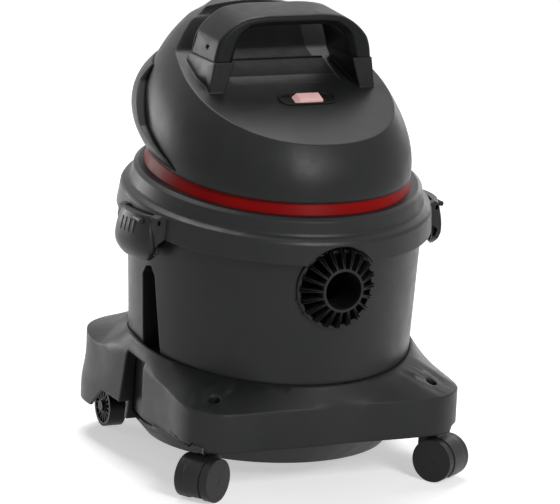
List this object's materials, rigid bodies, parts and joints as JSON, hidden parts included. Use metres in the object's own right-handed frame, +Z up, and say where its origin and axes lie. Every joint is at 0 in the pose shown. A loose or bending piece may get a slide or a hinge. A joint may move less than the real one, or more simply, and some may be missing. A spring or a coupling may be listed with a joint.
{
  "type": "shop vacuum",
  "caption": "Small wet and dry vacuum with a round tank, a tilted head with an arch handle, a hose inlet, side latches and a wheeled dolly.",
  "frame": {"origin": "floor level under the middle of the object, on the mirror plane; the tank's axis is 1.5 mm behind it", "axes": "+Z up, -Y towards the front with the hose inlet, +X to the right seen from the front"},
  "size_m": [0.3288, 0.3245, 0.4312],
  "materials": {
    "tank_plastic": "satin",
    "lid_plastic": "satin",
    "housing_plastic": "satin",
    "cowl_plastic": "satin",
    "grip_plastic": "satin",
    "dolly_plastic": "satin",
    "latch_plastic": "satin",
    "inlet_plastic": "satin",
    "inner_plastic": "matte",
    "wheel_plastic": "satin",
    "switch_plastic": "satin",
    "red_plastic": "gloss",
    "rocker_plastic": "gloss",
    "ball_plastic": "gloss",
    "rubber": "matte",
    "band_rubber": "matte",
    "steel": "satin",
    "zinc_steel": "satin",
    "laminations": "matte",
    "aluminium": "satin",
    "copper": "satin",
    "brass": "satin",
    "carbon": "matte",
    "foam": "matte"
  },
  "bodies": {
    "base": {"dolly": "dolly_plastic", "rear_axles": "steel"},
    "rear_wheel_right_body": {"rear_wheel_right": "wheel_plastic"},
    "rear_wheel_left_body": {"rear_wheel_left": "wheel_plastic"},
    "tank_body": {"tank": "tank_plastic", "inlet_fitting": "inlet_plastic", "inlet_nut": "inner_plastic", "inlet_deflector": "inner_plastic"},
    "head": {"lid": "lid_plastic", "tank_gasket": "rubber", "trim_ring": "red_plastic", "housing": "housing_plastic", "housing_screws": "steel", "exhaust_cowl": "cowl_plastic", "handle_grip": "grip_plastic", "cord_gland": "rubber", "switch_bezel": "switch_plastic", "switch_body": "switch_plastic", "switch_pin": "steel", "latch_pins": "steel", "motor_gasket": "rubber", "fan_housing": "zinc_steel", "motor_frame": "zinc_steel", "stator": "laminations", "field_coils": "copper", "brush_holders": "brass", "brushes": "carbon", "motor_screws": "steel", "bearing_lower": "steel", "bearing_upper": "steel", "filter_cage": "inner_plastic"},
    "latch_left_body": {"latch_left": "latch_plastic"},
    "latch_right_body": {"latch_right": "latch_plastic"},
    "rocker": {"switch_rocker": "rocker_plastic"},
    "rotor": {"motor_shaft": "steel", "impeller": "aluminium", "fan_nut": "steel", "armature": "laminations", "commutator": "copper"},
    "ball": {"float_ball": "ball_plastic"},
    "foam_sleeve": {"filter_foam": "foam", "foam_band": "band_rubber"},
    "caster_left": {"caster_hood_left": "wheel_plastic", "caster_stem_left": "steel", "caster_axle_left": "steel"},
    "caster_left_wheel_a": {"caster_wheel_left_a": "wheel_plastic"},
    "caster_left_wheel_b": {"caster_wheel_left_b": "wheel_plastic"},
    "caster_right": {"caster_hood_right": "wheel_plastic", "caster_stem_right": "steel", "caster_axle_right": "steel"},
    "caster_right_wheel_a": {"caster_wheel_right_a": "wheel_plastic"},
    "caster_right_wheel_b": {"caster_wheel_right_b": "wheel_plastic"}
  },
  "joints": [
    {"name": "rear_wheel_left_spin", "type": "hinge", "parent": "base", "child": "rear_wheel_left_body", "pos_m": [-0.114, 0.114, 0.02], "axis": [1, 0, 0], "continuous": true},
    {"name": "rear_wheel_right_spin", "type": "hinge", "parent": "base", "child": "rear_wheel_right_body", "pos_m": [0.114, 0.114, 0.02], "axis": [1, 0, 0], "continuous": true},
    {"name": "caster_left_swivel", "type": "hinge", "parent": "base", "child": "caster_left", "pos_m": [-0.112, -0.123, 0.06], "axis": [0, 0, 1], "continuous": true},
    {"name": "caster_left_wheel_a_spin", "type": "hinge", "parent": "caster_left", "child": "caster_left_wheel_a", "pos_m": [-0.12458, -0.13117, 0.0205], "axis": [0.5446, -0.8387, 0], "continuous": true},
    {"name": "caster_left_wheel_b_spin", "type": "hinge", "parent": "caster_left", "child": "caster_left_wheel_b", "pos_m": [-0.12458, -0.13117, 0.0205], "axis": [0.5446, -0.8387, 0], "continuous": true},
    {"name": "caster_right_swivel", "type": "hinge", "parent": "base", "child": "caster_right", "pos_m": [0.112, -0.123, 0.06], "axis": [0, 0, 1], "continuous": true},
    {"name": "caster_right_wheel_a_spin", "type": "hinge", "parent": "caster_right", "child": "caster_right_wheel_a", "pos_m": [0.11999, -0.13569, 0.0205], "axis": [0.8462, 0.5329, 0], "continuous": true},
    {"name": "caster_right_wheel_b_spin", "type": "hinge", "parent": "caster_right", "child": "caster_right_wheel_b", "pos_m": [0.11999, -0.13569, 0.0205], "axis": [0.8462, 0.5329, 0], "continuous": true},
    {"name": "tank_lift", "type": "slide", "parent": "base", "child": "tank_body", "axis": [0, 0, 1], "range_m": [0, 0.115]},
    {"name": "head_lift", "type": "slide", "parent": "tank_body", "child": "head", "axis": [0, -0.1142, 0.9935], "range_m": [0, 0.1]},
    {"name": "latch_left_turn", "type": "hinge", "parent": "head", "child": "latch_left_body", "pos_m": [-0.156, -0.02, 0.243], "axis": [0, 1, 0], "range_deg": [0, 60]},
    {"name": "latch_right_turn", "type": "hinge", "parent": "head", "child": "latch_right_body", "pos_m": [0.156, -0.02, 0.243], "axis": [0, -1, 0], "range_deg": [0, 60]},
    {"name": "switch_press", "type": "hinge", "parent": "head", "child": "rocker", "pos_m": [0.008, -0.03775, 0.34737], "axis": [0, 0.9379, 0.347], "range_deg": [0, 10]},
    {"name": "motor_spin", "type": "hinge", "parent": "head", "child": "rotor", "pos_m": [0, -0.00378, 0.29336], "axis": [0, -0.1142, 0.9935], "continuous": true},
    {"name": "float_rise", "type": "slide", "parent": "head", "child": "ball", "axis": [0, -0.1142, 0.9935], "range_m": [0, 0.058]},
    {"name": "foam_pull", "type": "slide", "parent": "head", "child": "foam_sleeve", "axis": [0, 0.1142, -0.9935], "range_m": [0, 0.09]}
  ]
}
